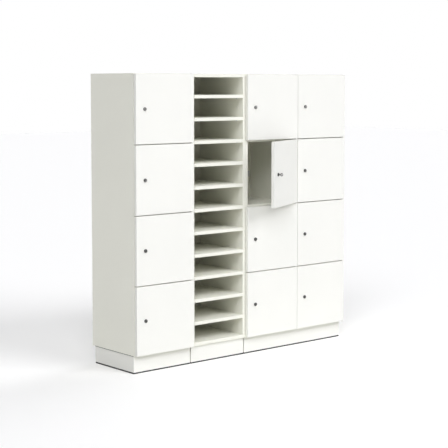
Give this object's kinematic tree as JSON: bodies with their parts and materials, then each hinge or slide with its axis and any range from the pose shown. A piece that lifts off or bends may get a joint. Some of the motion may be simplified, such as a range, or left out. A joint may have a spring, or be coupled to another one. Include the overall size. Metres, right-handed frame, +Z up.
{
  "type": "parcel locker",
  "caption": "Free-standing bank of lockable parcel compartments with hinged doors beside a column of open pigeonholes, on recessed plinths.",
  "frame": {"origin": "on the floor under the centre of the three joined carcasses", "axes": "+X to the right seen from the doors, +Y towards the back, +Z up"},
  "size_m": [1.6, 0.6001, 1.636],
  "materials": {
    "white_laminate": "fine-textured white melamine on chipboard",
    "back_laminate": "white melamine on thin board",
    "zinc_plated_steel": "bright zinc plate",
    "white_painted_steel": "white powder coat",
    "lock_chrome": "polished chrome plate",
    "key_steel": "nickel-plated steel",
    "foot_plastic": "black plastic",
    "beech": "bare beech dowel"
  },
  "bodies": {
    "cabinet": {"left_unit_left_side": "white_laminate", "left_unit_right_side": "white_laminate", "left_unit_top_and_bottom": "white_laminate", "left_unit_shelves": "white_laminate", "pigeonhole_left_side": "white_laminate", "pigeonhole_right_side": "white_laminate", "pigeonhole_top_and_bottom": "white_laminate", "pigeonhole_shelves": "white_laminate", "shelf_pins": "zinc_plated_steel", "right_unit_left_side": "white_laminate", "right_unit_divider": "white_laminate", "right_unit_right_side": "white_laminate", "right_unit_top_and_bottom": "white_laminate", "right_unit_shelves": "white_laminate", "back_panels": "back_laminate", "left_plinth": "white_laminate", "pigeonhole_plinth": "white_laminate", "right_plinth": "white_laminate", "levelling_feet": "foot_plastic", "pivot_plates": "white_painted_steel", "lock_strikes": "zinc_plated_steel", "unit_connectors": "white_painted_steel", "dowels": "beech"},
    "left_unit_door_1": {"left_unit_door_1": "white_laminate", "left_unit_door_1_fittings": "lock_chrome"},
    "left_unit_lock_1": {"left_unit_lock_1": "lock_chrome"},
    "left_unit_door_2": {"left_unit_door_2": "white_laminate", "left_unit_door_2_fittings": "lock_chrome"},
    "left_unit_lock_2": {"left_unit_lock_2": "lock_chrome"},
    "left_unit_door_3": {"left_unit_door_3": "white_laminate", "left_unit_door_3_fittings": "lock_chrome"},
    "left_unit_lock_3": {"left_unit_lock_3": "lock_chrome"},
    "left_unit_door_4": {"left_unit_door_4": "white_laminate", "left_unit_door_4_fittings": "lock_chrome"},
    "left_unit_lock_4": {"left_unit_lock_4": "lock_chrome"},
    "right_unit_left_door_1": {"right_unit_left_door_1": "white_laminate", "right_unit_left_door_1_fittings": "lock_chrome"},
    "right_unit_left_lock_1": {"right_unit_left_lock_1": "lock_chrome"},
    "right_unit_left_door_2": {"right_unit_left_door_2": "white_laminate", "right_unit_left_door_2_fittings": "lock_chrome"},
    "right_unit_left_lock_2": {"right_unit_left_lock_2": "lock_chrome"},
    "right_unit_left_door_3": {"right_unit_left_door_3": "white_laminate", "right_unit_left_door_3_fittings": "lock_chrome"},
    "right_unit_left_lock_3": {"right_unit_left_lock_3": "lock_chrome"},
    "right_unit_left_door_4": {"right_unit_left_door_4": "white_laminate", "right_unit_left_door_4_fittings": "lock_chrome"},
    "right_unit_left_lock_4": {"right_unit_left_lock_4": "lock_chrome"},
    "right_unit_right_door_1": {"right_unit_right_door_1": "white_laminate", "right_unit_right_door_1_fittings": "lock_chrome"},
    "right_unit_right_lock_1": {"right_unit_right_lock_1": "lock_chrome"},
    "right_unit_right_door_2": {"right_unit_right_door_2": "white_laminate", "right_unit_right_door_2_fittings": "lock_chrome"},
    "right_unit_right_lock_2": {"right_unit_right_lock_2": "lock_chrome"},
    "right_unit_right_door_3": {"right_unit_right_door_3": "white_laminate", "right_unit_right_door_3_fittings": "lock_chrome"},
    "right_unit_right_lock_3": {"right_unit_right_lock_3": "lock_chrome"},
    "right_unit_right_door_4": {"right_unit_right_door_4": "white_laminate", "right_unit_right_door_4_fittings": "lock_chrome"},
    "right_unit_right_lock_4": {"right_unit_right_lock_4": "lock_chrome"},
    "key": {"key": "key_steel"}
  },
  "joints": [
    {"name": "left_unit_door_1_hinge", "type": "hinge", "parent": "cabinet", "child": "left_unit_door_1", "pos_m": [-0.4075, -0.215, 1.444], "axis": [0, 0, 1], "range_deg": [0, 110]},
    {"name": "left_unit_lock_1_turn", "type": "hinge", "parent": "left_unit_door_1", "child": "left_unit_lock_1", "pos_m": [-0.74, -0.215, 1.444], "axis": [0, 1, 0], "range_deg": [0, 90]},
    {"name": "left_unit_door_2_hinge", "type": "hinge", "parent": "cabinet", "child": "left_unit_door_2", "pos_m": [-0.4075, -0.215, 1.06], "axis": [0, 0, 1], "range_deg": [0, 110]},
    {"name": "left_unit_lock_2_turn", "type": "hinge", "parent": "left_unit_door_2", "child": "left_unit_lock_2", "pos_m": [-0.74, -0.215, 1.06], "axis": [0, 1, 0], "range_deg": [0, 90]},
    {"name": "left_unit_door_3_hinge", "type": "hinge", "parent": "cabinet", "child": "left_unit_door_3", "pos_m": [-0.4075, -0.215, 0.676], "axis": [0, 0, 1], "range_deg": [0, 110]},
    {"name": "left_unit_lock_3_turn", "type": "hinge", "parent": "left_unit_door_3", "child": "left_unit_lock_3", "pos_m": [-0.74, -0.215, 0.676], "axis": [0, 1, 0], "range_deg": [0, 90]},
    {"name": "left_unit_door_4_hinge", "type": "hinge", "parent": "cabinet", "child": "left_unit_door_4", "pos_m": [-0.4075, -0.215, 0.292], "axis": [0, 0, 1], "range_deg": [0, 110]},
    {"name": "left_unit_lock_4_turn", "type": "hinge", "parent": "left_unit_door_4", "child": "left_unit_lock_4", "pos_m": [-0.74, -0.215, 0.292], "axis": [0, 1, 0], "range_deg": [0, 90]},
    {"name": "right_unit_left_door_1_hinge", "type": "hinge", "parent": "cabinet", "child": "right_unit_left_door_1", "pos_m": [0.3925, -0.215, 1.444], "axis": [0, 0, 1], "range_deg": [0, 110]},
    {"name": "right_unit_left_lock_1_turn", "type": "hinge", "parent": "right_unit_left_door_1", "child": "right_unit_left_lock_1", "pos_m": [0.06, -0.215, 1.444], "axis": [0, 1, 0], "range_deg": [0, 90]},
    {"name": "right_unit_left_door_2_hinge", "type": "hinge", "parent": "cabinet", "child": "right_unit_left_door_2", "pos_m": [0.3925, -0.215, 1.06], "axis": [0, 0, 1], "range_deg": [-27, 83]},
    {"name": "right_unit_left_lock_2_turn", "type": "hinge", "parent": "right_unit_left_door_2", "child": "right_unit_left_lock_2", "pos_m": [0.09624, -0.36595, 1.06], "axis": [-0.454, 0.891, 0], "range_deg": [0, 90]},
    {"name": "right_unit_left_door_3_hinge", "type": "hinge", "parent": "cabinet", "child": "right_unit_left_door_3", "pos_m": [0.3925, -0.215, 0.676], "axis": [0, 0, 1], "range_deg": [0, 110]},
    {"name": "right_unit_left_lock_3_turn", "type": "hinge", "parent": "right_unit_left_door_3", "child": "right_unit_left_lock_3", "pos_m": [0.06, -0.215, 0.676], "axis": [0, 1, 0], "range_deg": [0, 90]},
    {"name": "right_unit_left_door_4_hinge", "type": "hinge", "parent": "cabinet", "child": "right_unit_left_door_4", "pos_m": [0.3925, -0.215, 0.292], "axis": [0, 0, 1], "range_deg": [0, 110]},
    {"name": "right_unit_left_lock_4_turn", "type": "hinge", "parent": "right_unit_left_door_4", "child": "right_unit_left_lock_4", "pos_m": [0.06, -0.215, 0.292], "axis": [0, 1, 0], "range_deg": [0, 90]},
    {"name": "right_unit_right_door_1_hinge", "type": "hinge", "parent": "cabinet", "child": "right_unit_right_door_1", "pos_m": [0.7925, -0.215, 1.444], "axis": [0, 0, 1], "range_deg": [0, 110]},
    {"name": "right_unit_right_lock_1_turn", "type": "hinge", "parent": "right_unit_right_door_1", "child": "right_unit_right_lock_1", "pos_m": [0.46, -0.215, 1.444], "axis": [0, 1, 0], "range_deg": [0, 90]},
    {"name": "right_unit_right_door_2_hinge", "type": "hinge", "parent": "cabinet", "child": "right_unit_right_door_2", "pos_m": [0.7925, -0.215, 1.06], "axis": [0, 0, 1], "range_deg": [0, 110]},
    {"name": "right_unit_right_lock_2_turn", "type": "hinge", "parent": "right_unit_right_door_2", "child": "right_unit_right_lock_2", "pos_m": [0.46, -0.215, 1.06], "axis": [0, 1, 0], "range_deg": [0, 90]},
    {"name": "right_unit_right_door_3_hinge", "type": "hinge", "parent": "cabinet", "child": "right_unit_right_door_3", "pos_m": [0.7925, -0.215, 0.676], "axis": [0, 0, 1], "range_deg": [0, 110]},
    {"name": "right_unit_right_lock_3_turn", "type": "hinge", "parent": "right_unit_right_door_3", "child": "right_unit_right_lock_3", "pos_m": [0.46, -0.215, 0.676], "axis": [0, 1, 0], "range_deg": [0, 90]},
    {"name": "right_unit_right_door_4_hinge", "type": "hinge", "parent": "cabinet", "child": "right_unit_right_door_4", "pos_m": [0.7925, -0.215, 0.292], "axis": [0, 0, 1], "range_deg": [0, 110]},
    {"name": "right_unit_right_lock_4_turn", "type": "hinge", "parent": "right_unit_right_door_4", "child": "right_unit_right_lock_4", "pos_m": [0.46, -0.215, 0.292], "axis": [0, 1, 0], "range_deg": [0, 90]},
    {"name": "key_slide", "type": "slide", "parent": "right_unit_left_lock_2", "child": "key", "axis": [0.454, -0.891, 0], "range_m": [0, 0.025]}
  ]
}
